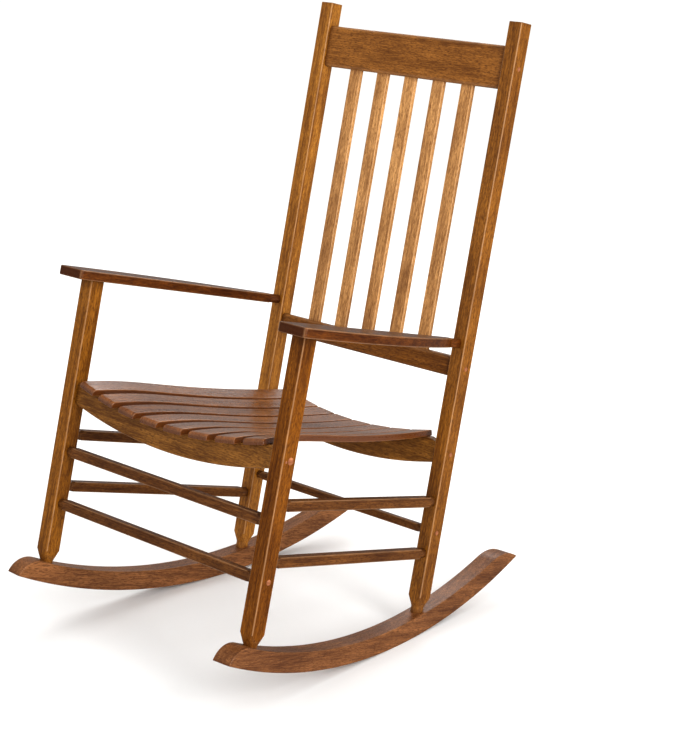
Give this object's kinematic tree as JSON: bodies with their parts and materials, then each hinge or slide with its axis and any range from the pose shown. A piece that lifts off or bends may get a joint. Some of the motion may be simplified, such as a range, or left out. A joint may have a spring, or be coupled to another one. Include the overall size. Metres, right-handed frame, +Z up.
{
  "type": "rocking chair",
  "caption": "Wooden rocking chair with a slatted back, a dished seat of fanned slats, bowed arms and toed-in rockers.",
  "frame": {"origin": "on the floor, under the middle of the chair's length and width", "axes": "+Z up, the sitter faces -Y, the sitter's left is +X"},
  "size_m": [0.683, 0.8611, 1.1604],
  "materials": {
    "posts": "satin lacquer over golden-brown stain",
    "rockers": "satin lacquer over red-brown stain",
    "rails": "satin lacquer over dark golden-brown stain",
    "back_slats": "satin lacquer over light golden stain",
    "seat_slats": "satin lacquer over light pink-brown stain",
    "arms": "satin lacquer over brown stain",
    "stretchers": "satin lacquer over red-brown stain",
    "plugs": "end-grain wood plugs, satin lacquer",
    "screws": "zinc-plated steel"
  },
  "bodies": {
    "root": {"rocker_left": "rockers", "rocker_right": "rockers", "front_post_left": "posts", "front_post_right": "posts", "back_post_left": "posts", "back_post_right": "posts", "seat_front_rail": "rails", "seat_rear_rail": "rails", "seat_slat_1": "seat_slats", "seat_slat_2": "seat_slats", "seat_slat_3": "seat_slats", "seat_slat_4": "seat_slats", "seat_slat_5": "seat_slats", "seat_slat_6": "seat_slats", "seat_slat_7": "seat_slats", "seat_slat_8": "seat_slats", "crest_rail": "rails", "lower_back_rail": "rails", "back_slat_1": "back_slats", "back_slat_2": "back_slats", "back_slat_3": "back_slats", "back_slat_4": "back_slats", "back_slat_5": "back_slats", "arm_left": "arms", "arm_right": "arms", "side_stretcher_upper_left": "stretchers", "side_stretcher_upper_right": "stretchers", "side_stretcher_lower_left": "stretchers", "side_stretcher_lower_right": "stretchers", "front_stretcher_upper": "stretchers", "front_stretcher_lower": "stretchers", "rear_stretcher": "stretchers", "front_rail_plugs": "plugs", "front_rail_pins": "plugs", "stretcher_plugs": "plugs", "back_post_plugs": "plugs", "joint_screws": "screws", "seat_screws": "screws"}
  },
  "joints": []
}
